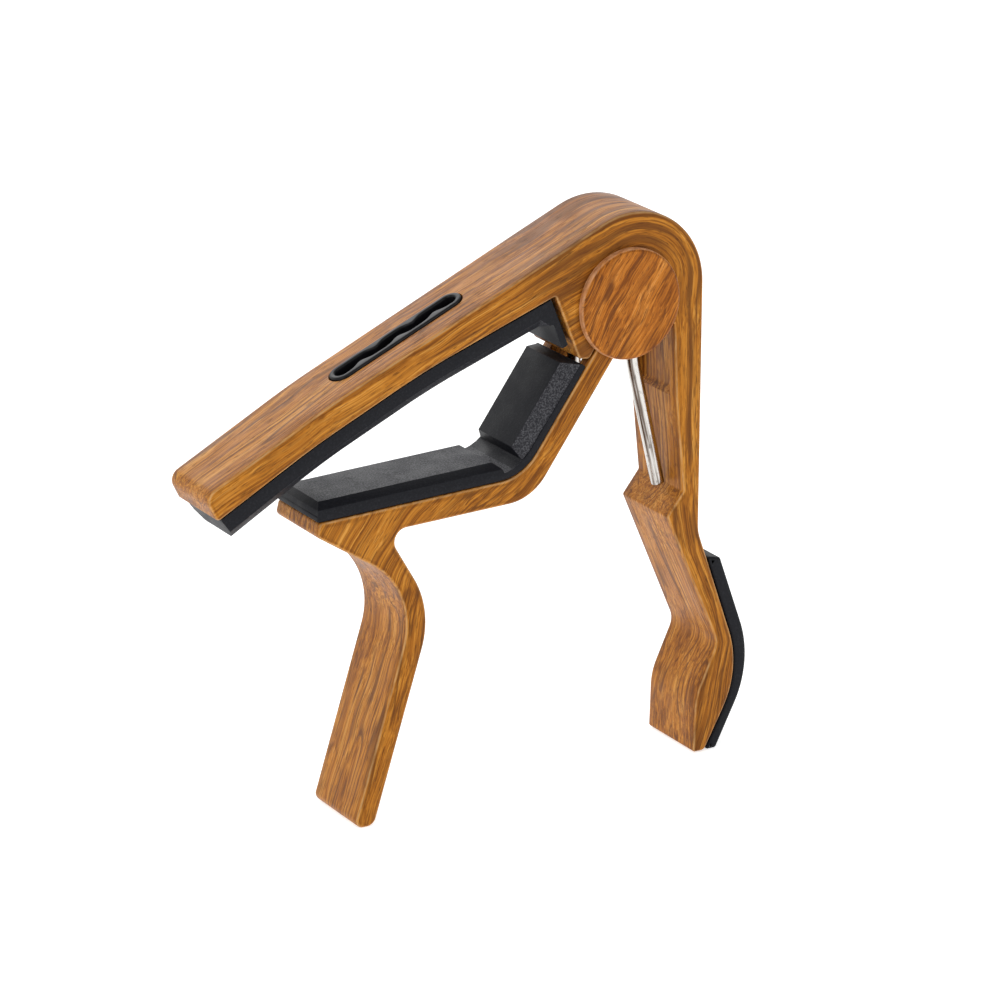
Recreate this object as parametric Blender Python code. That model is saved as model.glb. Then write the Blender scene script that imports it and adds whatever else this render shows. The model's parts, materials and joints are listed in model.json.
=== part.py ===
# Spring-loaded trigger capo for a guitar, standing on its two handle tips.
# Units are metres in the scene. The constants below are in millimetres and are
# scaled by MM when the meshes are made. X runs along the capo, Y across its
# width, Z up. The profile constants are written about the pivot axis, and
# PIVOT_X and PIVOT_Z then place the pivot in the part's own frame.
import math

import bmesh
import bpy
from mathutils import Matrix, Vector

MM = 0.001

# ---------------------------------------------------------------- dimensions
PIVOT_X = 23.54         # pivot axis from the middle of the overall length
PIVOT_Z = 74.5          # pivot axis above the surface the handle tips stand on
BODY_HALF = 6.6         # half the width of both castings
TIP_WIDTH_RATIO = 0.92  # the string bar narrows to this share of its width
EDGE_ROUND = 0.45       # rounding of the castings' long edges
GAP = 0.2               # clearance between pieces that touch
RUN = 0.3               # running clearance round the pivot

EAR_R = 8.0             # round ends of the lower jaw's fork
EAR_INNER = 4.3         # |y| of the ears' inner faces
SLOT_R = 14.0           # the fork's slot is cleared to this radius
CHEEK_R = 7.9           # upper arm's two cheeks between the ears
CHEEK_OUT = 3.5         # |y| of the cheeks' outer faces
CHEEK_IN = 2.9          # |y| of the cheeks' inner faces
CAVITY_R = 6.3          # room for the spring's coil
WASHER_T = 0.4
WASHER_R = 5.2
PIN_R = 2.0
BORE_R = 2.3            # pin hole in the ears and cheeks
SLEEVE_IN_R = 2.3
SLEEVE_OUT_R = 2.8
SPRING_WIRE_R = 1.05
SPRING_MEAN_R = 4.2
SPRING_PITCH = 2.15
LEG_FOOT = (8.8, -31.1)     # end of the leg on the rear handle
LEG_KNEE = (4.15, -11.4)    # where that leg bends outwards
CAP_R = 8.5
CAP_PROUD = 1.4

# Directions of the lower jaw's inclined bar, down and to the left
BAR_DIR = (-0.5798, -0.8148)
BAR_LEFT = 0.47         # bar's upper edge, left of a line through the pivot
BAR_RIGHT = 2.97        # bar's lower edge, right of that line

# Corner points are (x, z, fillet radius).
ARM_TIP = [(-68.15, -22.68, 0.7), (-70.1, -18.7, 1.9)]
ARM_TOP = [(-50.0, -8.1, 150.0), (13.4, 20.55, 12.4)]
HANDLE_OUTER = [(13.15, -38.2, 7.0), (21.35, -62.0, 26.0), (14.75, -74.3, 0.8)]
HANDLE_INNER = [
    (12.7, -74.3, 0.5),
    (13.0, -65.2, 10.0),
    (16.85, -56.9, 3.2),
    (7.45, -34.9, 0.5),
    (10.3, -31.3, 0.5),
    (8.9, -17.5, 70.0),
    (8.32, -4.6, 0.0),
]
TOE = [(-6.5, -7.75, 0.75), (-8.3, -7.45, 0.9), (-12.35, 2.72, 0.3)]
ARM_UNDER = [(-34.0, -5.3, 120.0), (-52.0, -13.75, 120.0)]

JAW_TIP = [(-51.9, -25.573, 0.6), (-52.4, -27.6, 0.9)]
JAW_TOP_CORNER = (-17.83, -24.25, 8.0)
JAW_UNDER_CORNER = (-16.2, -27.95, 8.0)
GRIP_RIGHT = [(-40.9, -28.8, 2.0), (-33.2, -42.2, 14.0), (-43.45, -74.5, 1.6)]
GRIP_LEFT = [(-46.95, -74.5, 1.3), (-35.6, -38.6, 12.2)]

STRING_PAD_T = 3.65
STRING_PAD_HALF = 6.2
STRING_PAD_CHAMFER = 1.6
NECK_PAD_HALF = 6.4
NECK_BASE_T = 0.9
# raised blocks of the neck pad: height of the side, height of the top, inset
LONG_BLOCK = (1.75, 2.55, 1.6)
SHORT_BLOCK = (0.75, 3.25, 1.5)

PICK_CENTRE = (-35.58, -1.58)   # on the bar's top face
PICK_LENGTH = 23.9
PICK_WIDTH = 4.5
PICK_DEPTH = 2.9
PICK_PROUD = 0.35
PICK_ANGLE = math.radians(24.32)
PICK_PITCH = 6.7                # spacing of the soft bumps along one wall


# ------------------------------------------------------------------- helpers
def clear_scene():
    for obj in list(bpy.data.objects):
        bpy.data.objects.remove(obj, do_unlink=True)


def material(name, colour, rough, metal):
    mat = bpy.data.materials.new(name)
    mat.use_nodes = True
    shader = mat.node_tree.nodes["Principled BSDF"]
    shader.inputs["Base Color"].default_value = (*colour, 1.0)
    shader.inputs["Roughness"].default_value = rough
    shader.inputs["Metallic"].default_value = metal
    mat.diffuse_color = (*colour, 1.0)
    return mat


def rounded(corners):
    """Closed outline through corner points, each with its own fillet radius."""
    out = []
    n = len(corners)
    for i in range(n):
        p = Vector(corners[i][:2])
        r = corners[i][2]
        a = Vector(corners[i - 1][:2]) - p
        b = Vector(corners[(i + 1) % n][:2]) - p
        la, lb = a.length, b.length
        if r <= 0.0 or la < 1e-6 or lb < 1e-6:
            out.append((p.x, p.y))
            continue
        a.normalize()
        b.normalize()
        inner = a.angle(b)
        turn = math.pi - inner
        if turn < math.radians(0.5):
            out.append((p.x, p.y))
            continue
        t = min(r / math.tan(inner / 2), 0.49 * la, 0.49 * lb)
        r = t * math.tan(inner / 2)
        start = p + a * t
        centre = p + (a + b).normalized() * (r / math.sin(inner / 2))
        v0 = start - centre
        sign = 1.0 if (a.x * b.y - a.y * b.x) < 0 else -1.0
        steps = max(2, int(math.ceil(turn / math.radians(11.0))))
        if r > 60.0:
            steps = max(steps, 6)
        for k in range(steps + 1):
            ang = sign * turn * k / steps
            c, s = math.cos(ang), math.sin(ang)
            out.append((centre.x + v0.x * c - v0.y * s, centre.y + v0.x * s + v0.y * c))
    return out


def arc(cx, cz, r, a0, a1, steps):
    pts = []
    for k in range(steps + 1):
        a = math.radians(a0 + (a1 - a0) * k / steps)
        pts.append((cx + r * math.cos(a), cz + r * math.sin(a)))
    return pts


def world(x, y, z):
    return ((PIVOT_X + x) * MM, y * MM, (PIVOT_Z + z) * MM)


def finish(bm, name, mat, smooth=True):
    bmesh.ops.remove_doubles(bm, verts=bm.verts, dist=1e-7)
    bmesh.ops.recalc_face_normals(bm, faces=bm.faces)
    mesh = bpy.data.meshes.new(name)
    bm.to_mesh(mesh)
    bm.free()
    obj = bpy.data.objects.new(name, mesh)
    bpy.context.scene.collection.objects.link(obj)
    if mat is not None:
        mesh.materials.append(mat)
    if smooth:
        mesh.shade_smooth()
        mesh.set_sharp_from_angle(angle=math.radians(32))
    return obj


def slab(name, outline, y0, y1, mat=None, width_at=None, bevel=0.0, chamfer=None):
    """Outline in X and Z extruded across Y. width_at(x) scales the width;
    chamfer = (test(x, z), size) cuts the chosen long edges at 45 degrees."""
    bm = bmesh.new()
    verts = [bm.verts.new((x, y0, z)) for x, z in outline]
    face = bm.faces.new(verts)
    res = bmesh.ops.extrude_face_region(bm, geom=[face])
    moved = [g for g in res["geom"] if isinstance(g, bmesh.types.BMVert)]
    bmesh.ops.translate(bm, verts=moved, vec=(0, y1 - y0, 0))
    if width_at:
        for v in bm.verts:
            v.co.y *= width_at(v.co.x)
    if chamfer:
        test, size = chamfer
        picked = []
        for e in bm.edges:
            a, b = e.verts
            if a.co.y * b.co.y > 0 and test(a.co.x, a.co.z) and test(b.co.x, b.co.z):
                picked.append(e)
        bmesh.ops.bevel(bm, geom=picked, offset=size, offset_type="OFFSET",
                        segments=1, profile=0.5, affect="EDGES")
    for v in bm.verts:
        v.co = Vector(world(*v.co))
    obj = finish(bm, name, mat)
    if bevel > 0.0:
        mod = obj.modifiers.new("edge_round", "BEVEL")
        mod.width = bevel * MM
        mod.segments = 2
        mod.limit_method = "ANGLE"
        mod.angle_limit = math.radians(50)
        mod.harden_normals = False
    return obj


def turned(name, profile, mat=None, sides=48):
    """Profile of (radius, y) turned about the pivot axis; radius 0 closes it."""
    bm = bmesh.new()
    rings = []
    for r, y in profile:
        if r <= 1e-6:
            rings.append([bm.verts.new((0, y, 0))])
        else:
            rings.append([
                bm.verts.new((r * math.cos(2 * math.pi * k / sides), y,
                              r * math.sin(2 * math.pi * k / sides)))
                for k in range(sides)
            ])
    closed = profile[0][0] > 1e-6 and profile[-1][0] > 1e-6
    pairs = list(zip(rings, rings[1:]))
    if closed:
        pairs.append((rings[-1], rings[0]))
    for a, b in pairs:
        for k in range(sides):
            j = (k + 1) % sides
            if len(a) == 1:
                bm.faces.new((a[0], b[j], b[k]))
            elif len(b) == 1:
                bm.faces.new((a[k], a[j], b[0]))
            else:
                bm.faces.new((a[k], a[j], b[j], b[k]))
    for v in bm.verts:
        v.co = Vector(world(*v.co))
    return finish(bm, name, mat)


def cut(obj, cutter):
    cutter.hide_render = True
    cutter.display_type = "WIRE"
    mod = obj.modifiers.new("cut_" + cutter.name, "BOOLEAN")
    mod.operation = "DIFFERENCE"
    mod.solver = "EXACT"
    mod.object = cutter


def join(obj, other):
    other.hide_render = True
    other.display_type = "WIRE"
    mod = obj.modifiers.new("join_" + other.name, "BOOLEAN")
    mod.operation = "UNION"
    mod.solver = "EXACT"
    mod.object = other


def along_bar(s, left):
    """Point s along the inclined bar from the pivot, left of its axis line."""
    dx, dz = BAR_DIR
    return (dx * s + dz * left, dz * s - dx * left)


def tapered(x):
    t = min(max((-12.0 - x) / 57.0, 0.0), 1.0)
    return 1.0 + (TIP_WIDTH_RATIO - 1.0) * t


# ----------------------------------------------------------------- materials
WOOD = material("wood_film", (0.43, 0.17, 0.045), 0.42, 0.0)
CAP_WOOD = material("wood_film_cap", (0.47, 0.18, 0.05), 0.4, 0.0)
PAD = material("pad_rubber", (0.022, 0.024, 0.03), 0.7, 0.0)
INSERT = material("insert_rubber", (0.03, 0.03, 0.033), 0.55, 0.0)
CHROME = material("spring_steel", (0.75, 0.74, 0.72), 0.18, 1.0)
STEEL = material("pin_steel", (0.6, 0.6, 0.6), 0.3, 1.0)
NYLON = material("nylon", (0.75, 0.74, 0.7), 0.5, 0.0)


# ------------------------------------------------------------------ upper arm
def build_upper_arm():
    outline = rounded(ARM_TIP + ARM_TOP + HANDLE_OUTER + HANDLE_INNER + [(6.70, -4.19, 0.0)] + [
        (*p, 0.0) for p in arc(0, 0, CHEEK_R, -38, -122, 12)
    ] + [(-5.55, -6.35, 0.3)] + TOE + ARM_UNDER)
    arm = slab("upper_arm", outline, -BODY_HALF, BODY_HALF, WOOD, tapered, EDGE_ROUND)
    for side, tag in ((-1, "front"), (1, "rear")):
        recess = arc(0, 0, EAR_R + RUN, 0, 230, 40) + [(-4.6, -10.0), (8.25, -10.0)]
        y0, y1 = sorted((side * CHEEK_OUT, side * (BODY_HALF + 2)))
        cut(arm, slab("recess_" + tag, recess, y0, y1))
    cavity = arc(0, 0, CAVITY_R, 0, 196, 28) + [(-5.75, -10.0), (8.1, -10.0), (8.1, -3.6)]
    cut(arm, slab("coil_cavity", cavity, -CHEEK_IN, CHEEK_IN))
    cut(arm, turned("arm_bore", [(0, -5), (BORE_R, -5), (BORE_R, 5), (0, 5)], sides=32))
    channel = [(7.0, -5.1), (9.75, -5.1), (9.75, -15.4), (8.4, -16.7), (7.0, -16.7)]
    cut(arm, slab("spring_channel", channel, -4.7, 4.7))
    cut(arm, pick_solid("pick_pocket", PICK_LENGTH, PICK_WIDTH, -PICK_DEPTH, 3.0))
    return arm


def soft_bumps(u, places):
    """Height from 0 to 1 of round bumps centred at whole or half pitches."""
    h = 0.0
    for p in places:
        h = max(h, math.exp(-((u - p * PICK_PITCH) / 1.3) ** 2))
    return h


def pick_solid(name, length, width, low, high, mat=None, wave=0.0):
    """Upright oval with round ends on the bar's top face. With wave, its long
    sides step in at staggered soft bumps that grip a plectrum: three on the
    front wall and two on the rear wall, half a pitch apart."""
    cx, cz = PICK_CENTRE
    ca, sa = math.cos(PICK_ANGLE), math.sin(PICK_ANGLE)
    r = width / 2
    half = length / 2 - r
    pts = []
    for k in range(11):
        a = -math.pi / 2 + math.pi * k / 10
        pts.append((half + r * math.cos(a), r * math.sin(a)))
    steps = 28
    for k in range(1, steps):
        u = half - 2 * half * k / steps
        pts.append((u, r - wave * soft_bumps(u, (-0.5, 0.5))))
    for k in range(11):
        a = math.pi / 2 + math.pi * k / 10
        pts.append((-half + r * math.cos(a), r * math.sin(a)))
    for k in range(1, steps):
        u = -half + 2 * half * k / steps
        pts.append((u, -r + wave * soft_bumps(u, (-1.0, 0.0, 1.0))))
    bm = bmesh.new()
    verts = [bm.verts.new((cx + u * ca - low * sa, v, cz + u * sa + low * ca)) for u, v in pts]
    face = bm.faces.new(verts)
    res = bmesh.ops.extrude_face_region(bm, geom=[face])
    moved = [g for g in res["geom"] if isinstance(g, bmesh.types.BMVert)]
    d = high - low
    bmesh.ops.translate(bm, verts=moved, vec=(-d * sa, 0, d * ca))
    for v in bm.verts:
        v.co = Vector(world(*v.co))
    return finish(bm, name, mat)


def build_pick_holder():
    holder = pick_solid("pick_holder", PICK_LENGTH - 2 * GAP, PICK_WIDTH - 2 * GAP,
                        -PICK_DEPTH + GAP, PICK_PROUD, INSERT)
    cut(holder, pick_solid("pick_slot", PICK_LENGTH - 2.4, 2.3, -PICK_DEPTH + GAP + 0.6, 3.0, wave=0.7))
    return holder


# ------------------------------------------------------------------ lower jaw
def build_lower_jaw():
    top_root = along_bar(2.0, BAR_LEFT)
    under_root = along_bar(2.0, -BAR_RIGHT)
    outline = rounded(
        [(*top_root, 0.0)] + [JAW_TOP_CORNER] + JAW_TIP + GRIP_LEFT[::-1]
        + GRIP_RIGHT[::-1] + [JAW_UNDER_CORNER, (*under_root, 0.0)]
    )
    jaw = slab("lower_jaw", outline, -BODY_HALF, BODY_HALF, WOOD, None, EDGE_ROUND)
    side = BODY_HALF - 0.04
    disc = turned("ear_disc", [(0, -side), (EAR_R - 0.3, -side), (EAR_R, -side + 0.3),
                               (EAR_R, side - 0.3), (EAR_R - 0.3, side), (0, side)])
    join(jaw, disc)
    cut(jaw, turned("fork_slot", [(0, -EAR_INNER), (SLOT_R, -EAR_INNER),
                                  (SLOT_R, EAR_INNER), (0, EAR_INNER)], sides=70))
    cut(jaw, turned("ear_bore", [(0, -9), (BORE_R, -9), (BORE_R, 9), (0, 9)], sides=32))
    return jaw


# ----------------------------------------------------------------------- pads
def offset_line(points, d):
    """Polyline moved sideways by d, to the right of its direction."""
    out = []
    for i, (x, z) in enumerate(points):
        a = Vector(points[max(i - 1, 0)])
        b = Vector(points[min(i + 1, len(points) - 1)])
        t = (b - a).normalized()
        out.append((x + t.y * d, z - t.x * d))
    return out


def build_string_pad():
    # along the bar's underside from the tip to the root, then down the toe
    line = [(-67.55, -22.36), (-52.0, -13.75), (-34.0, -5.3), (-13.1, 2.42)]
    top = offset_line(line, GAP)
    low = offset_line(line, GAP + STRING_PAD_T)
    tx, tz = 0.3699, -0.9291      # direction down the toe's flank
    root = (top[-1][0] + 0.1, top[-1][1])
    leg = (root[0] + tx * 7.9, root[1] + tz * 7.9)
    corners = [
        (*top[0], 0.4), (*top[1], 120.0), (*top[2], 120.0), (*root, 0.2),
        (*leg, 0.2), (leg[0] - 1.05, leg[1] - 0.42, 0.2),
        (low[-1][0] - 0.75, low[-1][1] - 0.28, 0.6),
        (low[-1][0] - 2.44, low[-1][1] - 0.90, 0.0),
        (*low[2], 120.0), (*low[1], 120.0), (low[0][0] + 0.6, low[0][1] - 0.11, 0.0),
    ]
    x_end = low[-1][0] - 1.6

    def lower_edge(x, z):
        if x > x_end:
            return False
        # height of the underside at x, read between the line's corner points
        for (xa, za), (xb, zb) in zip(line, line[1:]):
            if x <= xb:
                zu = za + (zb - za) * (x - xa) / (xb - xa)
                return zu - z > 0.6 * STRING_PAD_T
        return False

    return slab("string_pad", rounded(corners), -STRING_PAD_HALF, STRING_PAD_HALF, PAD,
                tapered, 0.0, (lower_edge, STRING_PAD_CHAMFER))


def block(name, p0, p1, up, levels, half, mat=None):
    """Raised block from p0 to p1 in X and Z. Each level is its height, its
    inset at the sides, at the p0 end and at the p1 end."""
    d = (Vector(p1) - Vector(p0)).normalized()
    n = Vector(up)
    bm = bmesh.new()
    rings = []
    for h, side, first, last in levels:
        a = Vector(p0) + n * h + d * first
        b = Vector(p1) + n * h - d * last
        rings.append([
            bm.verts.new((a.x, -(half - side), a.y)),
            bm.verts.new((b.x, -(half - side), b.y)),
            bm.verts.new((b.x, (half - side), b.y)),
            bm.verts.new((a.x, (half - side), a.y)),
        ])
    bm.faces.new(rings[0])
    bm.faces.new(rings[-1][::-1])
    for low, high in zip(rings, rings[1:]):
        for k in range(4):
            j = (k + 1) % 4
            bm.faces.new((low[k], high[k], high[j], low[j]))
    for v in bm.verts:
        v.co = Vector(world(*v.co))
    return finish(bm, name, mat)


def build_neck_pad():
    n = (BAR_DIR[1], -BAR_DIR[0])      # up-left normal of the inclined bar
    top_end = along_bar(11.3, BAR_LEFT + GAP)
    corner = JAW_TOP_CORNER
    u = (Vector(corner[:2]) - Vector(JAW_TIP[0][:2])).normalized()
    up = (-u.y, u.x)
    start = (-52.3, JAW_TIP[0][1] + GAP)
    inner = (corner[0] - 0.85 * NECK_BASE_T, corner[1] + GAP + NECK_BASE_T * 1.05)
    strip = rounded([
        (*start, 0.2),
        (corner[0], corner[1] + GAP, corner[2]),
        (*top_end, 0.2),
        (top_end[0] + n[0] * NECK_BASE_T, top_end[1] + n[1] * NECK_BASE_T, 0.2),
        (inner[0], inner[1], corner[2] - 1.0),
        (start[0] + 0.05, start[1] + NECK_BASE_T, 0.3),
    ])
    pad = slab("neck_pad", strip, -NECK_PAD_HALF, NECK_PAD_HALF, PAD)
    base = Vector(start) + u * 0.15
    side, high, inset = LONG_BLOCK
    join(pad, block("long_block", base, base + u * 31.6, up,
                    [(0.4, 0.0, 0.0, 0.0), (side, 0.0, 0.1, 0.7), (high, inset, 1.0, 1.6)],
                    NECK_PAD_HALF - 0.01))
    a = along_bar(28.2, BAR_LEFT + GAP)
    b = along_bar(11.4, BAR_LEFT + GAP)
    side, high, inset = SHORT_BLOCK
    join(pad, block("short_block", a, b, n,
                    [(0.4, 0.0, 0.0, 0.0), (side, 0.0, 0.0, 0.0), (high, inset, 1.1, 1.3)],
                    NECK_PAD_HALF - 0.01))
    return pad


def build_handle_pad():
    outline = rounded([
        (14.95, -42.7, 0.45),
        (21.55, -62.0, 26.2),
        (15.1, -74.5, 0.45),
        (17.15, -74.5, 0.6),
        (23.85, -61.3, 28.0),
        (17.5, -43.3, 0.5),
    ])
    return slab("handle_pad", outline, -6.2, 6.2, PAD, None, 0.35)


# ------------------------------------------------------------ pivot and spring
def build_caps():
    for side, name in ((-1, "front_pivot_cap"), (1, "rear_pivot_cap")):
        y_in = BODY_HALF + GAP
        y_out = BODY_HALF + CAP_PROUD
        prof = [(0, side * y_out)]
        for k in range(7):
            a = math.pi / 2 * k / 6
            prof.append((CAP_R - 0.75 + 0.75 * math.sin(a),
                         side * (y_out - 0.75 + 0.75 * math.cos(a))))
        prof += [(CAP_R, side * y_in), (1.0, side * y_in),
                 (1.0, side * (y_in - 2.6)), (0, side * (y_in - 2.6))]
        turned(name, prof, CAP_WOOD, 72)


def build_pin():
    end = BODY_HALF - 0.1
    return turned("pivot_pin", [
        (0, -end + 3.2), (1.3, -end + 3.2), (1.3, -end), (PIN_R, -end),
        (PIN_R, end), (1.3, end), (1.3, end - 3.2), (0, end - 3.2),
    ], STEEL, 32)


def build_sleeve():
    h = CHEEK_IN - RUN
    return turned("spring_sleeve", [
        (SLEEVE_IN_R, -h), (SLEEVE_OUT_R, -h), (SLEEVE_OUT_R, h), (SLEEVE_IN_R, h),
    ], NYLON, 32)


def build_washers():
    for side, name in ((-1, "front_friction_washer"), (1, "rear_friction_washer")):
        a = side * (CHEEK_OUT + GAP)
        b = side * (CHEEK_OUT + GAP + WASHER_T)
        turned(name, [(BORE_R, a), (WASHER_R, a), (WASHER_R, b), (BORE_R, b)], NYLON, 40)


def build_spring():
    """Leg on the rear handle, one and a half turns round the sleeve, then a leg
    that passes through the fork's slot and bears on the underside of the bar."""
    r = SPRING_MEAN_R
    a0, a1 = math.radians(-6.0), math.radians(534.0)
    span = SPRING_PITCH * (a1 - a0) / (2 * math.pi)
    foot, knee = Vector(LEG_FOOT), Vector(LEG_KNEE)
    pts = []
    for k in range(6):
        p = foot.lerp(knee, k / 5.0)
        pts.append((p.x, -span / 2, p.y))
    for x, z in ((3.97, -9.2), (4.08, -7.6), (4.15, -4.0)):
        pts.append((x, -span / 2, z))
    steps = 36
    for k in range(steps + 1):
        a = a0 + (a1 - a0) * k / steps
        pts.append((r * math.cos(a), -span / 2 + span * k / steps, r * math.sin(a)))
    under = -(BAR_RIGHT + RUN + SPRING_WIRE_R + 0.1)
    for x, z in ((-4.3, -3.5), (-4.3, -8.0), (-4.28, -11.6)):
        pts.append((x, span / 2, z))
    for s in (13.9, 14.9, 16.4, 18.0):
        x, z = along_bar(s, under)
        pts.append((x, span / 2, z))
    return tube("torsion_spring", pts, SPRING_WIRE_R, CHROME)


def tube(name, pts, radius, mat):
    curve = bpy.data.curves.new(name, "CURVE")
    curve.dimensions = "3D"
    curve.bevel_depth = radius * MM
    curve.bevel_resolution = 3
    curve.use_fill_caps = True
    spline = curve.splines.new("POLY")
    spline.points.add(len(pts) - 1)
    for p, q in zip(spline.points, pts):
        p.co = (*world(*q), 1.0)
    obj = bpy.data.objects.new(name, curve)
    bpy.context.scene.collection.objects.link(obj)
    curve.materials.append(mat)
    return obj


def hang_on_hinge(objects):
    """Pieces that swing together hang on an empty that sits on the pivot axis."""
    hinge = bpy.data.objects.new("hinge_axis", None)
    hinge.empty_display_size = 0.01
    hinge.location = world(0, 0, 0)
    bpy.context.scene.collection.objects.link(hinge)
    for obj in objects:
        obj.parent = hinge
        obj.matrix_parent_inverse = Matrix.Translation(world(0, 0, 0)).inverted()


clear_scene()
swinging = [
    build_upper_arm(),
    build_string_pad(),
    build_pick_holder(),
    build_handle_pad(),
    build_sleeve(),
    build_spring(),
]
build_lower_jaw()
build_neck_pad()
build_caps()
build_pin()
build_washers()
hang_on_hinge(swinging)
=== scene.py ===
import json
import math

import bmesh
import bpy
import numpy as np
from mathutils import Matrix, Vector
from mathutils.geometry import delaunay_2d_cdt

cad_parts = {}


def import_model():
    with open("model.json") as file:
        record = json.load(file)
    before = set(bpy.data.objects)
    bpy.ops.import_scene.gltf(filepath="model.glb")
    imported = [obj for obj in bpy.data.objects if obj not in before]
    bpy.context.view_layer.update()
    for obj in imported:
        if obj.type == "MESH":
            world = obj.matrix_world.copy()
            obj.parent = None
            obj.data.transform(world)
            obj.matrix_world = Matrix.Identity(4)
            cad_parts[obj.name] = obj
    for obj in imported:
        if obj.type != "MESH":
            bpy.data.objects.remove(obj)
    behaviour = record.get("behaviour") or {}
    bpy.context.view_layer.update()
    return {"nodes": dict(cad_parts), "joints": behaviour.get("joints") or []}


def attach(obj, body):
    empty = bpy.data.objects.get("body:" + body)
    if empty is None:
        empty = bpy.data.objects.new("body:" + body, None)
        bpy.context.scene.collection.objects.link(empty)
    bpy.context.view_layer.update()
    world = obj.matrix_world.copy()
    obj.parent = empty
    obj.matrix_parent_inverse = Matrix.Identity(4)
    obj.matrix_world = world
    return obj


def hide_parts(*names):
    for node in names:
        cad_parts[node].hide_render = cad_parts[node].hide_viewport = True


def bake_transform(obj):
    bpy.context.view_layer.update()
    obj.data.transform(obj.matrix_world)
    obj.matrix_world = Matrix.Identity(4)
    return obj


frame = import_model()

MM = 0.001
PX, _, PZ = [c / MM for c in frame["joints"][0]["pos_m"]]     # pivot axis, mm

# --------------------------------------------------------------- dimensions
# The same design sizes as the CAD part, in mm about the pivot axis.
BODY_HALF = 6.6
TIP_WIDTH_RATIO = 0.92
EDGE_ROUND = 0.42
EAR_R, EAR_INNER, SLOT_R = 8.0, 4.3, 14.0
CHEEK_R, CHEEK_OUT, CHEEK_IN, CAVITY_R, BORE_R = 7.9, 3.5, 2.9, 6.3, 2.3
CAP_R, CAP_PROUD = 8.5, 1.4
BAR_DIR = (-0.5798, -0.8148)
BAR_LEFT, BAR_RIGHT = 0.47, 2.97

ARM_TIP = [(-68.15, -22.68, 0.7), (-70.1, -18.7, 1.9)]
ARM_TOP = [(-50.0, -8.1, 150.0), (13.4, 20.55, 12.4)]
HANDLE_OUTER = [(13.15, -38.2, 7.0), (21.35, -62.0, 26.0), (14.75, -74.3, 0.8)]
HANDLE_INNER = [
    (12.7, -74.3, 0.5), (13.0, -65.2, 10.0), (16.85, -56.9, 3.2),
    (7.45, -34.9, 0.5), (10.3, -31.3, 0.5), (8.9, -17.5, 70.0), (8.32, -4.6, 0.0),
]
TOE = [(-6.5, -7.75, 0.75), (-8.3, -7.45, 0.9), (-12.35, 2.72, 0.3)]
ARM_UNDER = [(-34.0, -5.3, 120.0), (-52.0, -13.75, 120.0)]
JAW_TIP = [(-51.9, -25.573, 0.6), (-52.4, -27.6, 0.9)]
JAW_TOP_CORNER = (-17.83, -24.25, 8.0)
JAW_UNDER_CORNER = (-16.2, -27.95, 8.0)
GRIP_RIGHT = [(-40.9, -28.8, 2.0), (-33.2, -42.2, 14.0), (-43.45, -74.5, 1.6)]
GRIP_LEFT = [(-46.95, -74.5, 1.3), (-35.6, -38.6, 12.2)]
PICK_CENTRE = (-35.58, -1.58)
PICK_LENGTH, PICK_WIDTH, PICK_DEPTH, PICK_PROUD, PICK_PITCH = 23.9, 4.5, 2.9, 0.35, 6.7
PICK_ANGLE = math.radians(24.32)


# ------------------------------------------------------------------ helpers
def world(x, y, z):
    return Vector(((PX + x) * MM, y * MM, (PZ + z) * MM))


def along_bar(s, left):
    dx, dz = BAR_DIR
    return (dx * s + dz * left, dz * s - dx * left)


def rounded(corners, step=3.5):
    """Closed outline through corner points (x, z, fillet radius)."""
    out = []
    n = len(corners)
    for i in range(n):
        p = Vector(corners[i][:2])
        r = corners[i][2]
        a = Vector(corners[i - 1][:2]) - p
        b = Vector(corners[(i + 1) % n][:2]) - p
        la, lb = a.length, b.length
        if r <= 0.0 or la < 1e-6 or lb < 1e-6:
            out.append((p.x, p.y))
            continue
        a.normalize()
        b.normalize()
        inner = a.angle(b)
        turn = math.pi - inner
        if turn < math.radians(0.3):
            out.append((p.x, p.y))
            continue
        t = min(r / math.tan(inner / 2), 0.49 * la, 0.49 * lb)
        r = t * math.tan(inner / 2)
        centre = p + (a + b).normalized() * (r / math.sin(inner / 2))
        v0 = p + a * t - centre
        sign = 1.0 if (a.x * b.y - a.y * b.x) < 0 else -1.0
        steps = max(4, int(math.ceil(turn / math.radians(step))))
        if r > 60.0:
            steps = 24
        for k in range(steps + 1):
            ang = sign * turn * k / steps
            c, s = math.cos(ang), math.sin(ang)
            out.append((centre.x + v0.x * c - v0.y * s, centre.y + v0.x * s + v0.y * c))
    return out


def arc(cx, cz, r, a0, a1, steps):
    return [(cx + r * math.cos(math.radians(a0 + (a1 - a0) * k / steps)),
             cz + r * math.sin(math.radians(a0 + (a1 - a0) * k / steps))) for k in range(steps + 1)]


def area2(p):
    x, z = p[:, 0], p[:, 1]
    return float(np.sum(x * np.roll(z, -1) - np.roll(x, -1) * z)) / 2


def densify(points, most):
    """Splits long edges, drops repeats, and turns the outline anticlockwise."""
    pts = [np.array(p, float) for p in points]
    out = []
    for i, p in enumerate(pts):
        q = pts[(i + 1) % len(pts)]
        d = np.linalg.norm(q - p)
        if d < 1e-4:
            continue
        n = max(1, int(math.ceil(d / most)))
        for k in range(n):
            out.append(p + (q - p) * k / n)
    out = np.array(out)
    return out if area2(out) > 0 else out[::-1].copy()


def inward(pts):
    """Mitred inward direction at each point of an anticlockwise outline."""
    e0 = pts - np.roll(pts, 1, 0)
    e1 = np.roll(pts, -1, 0) - pts
    e0 /= np.linalg.norm(e0, axis=1)[:, None]
    e1 /= np.linalg.norm(e1, axis=1)[:, None]
    n0 = np.stack([-e0[:, 1], e0[:, 0]], 1)
    n1 = np.stack([-e1[:, 1], e1[:, 0]], 1)
    m = n0 + n1
    m /= np.linalg.norm(m, axis=1)[:, None]
    c = np.clip(np.sum(m * n0, 1), 0.35, 1)
    return m / c[:, None]


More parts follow.
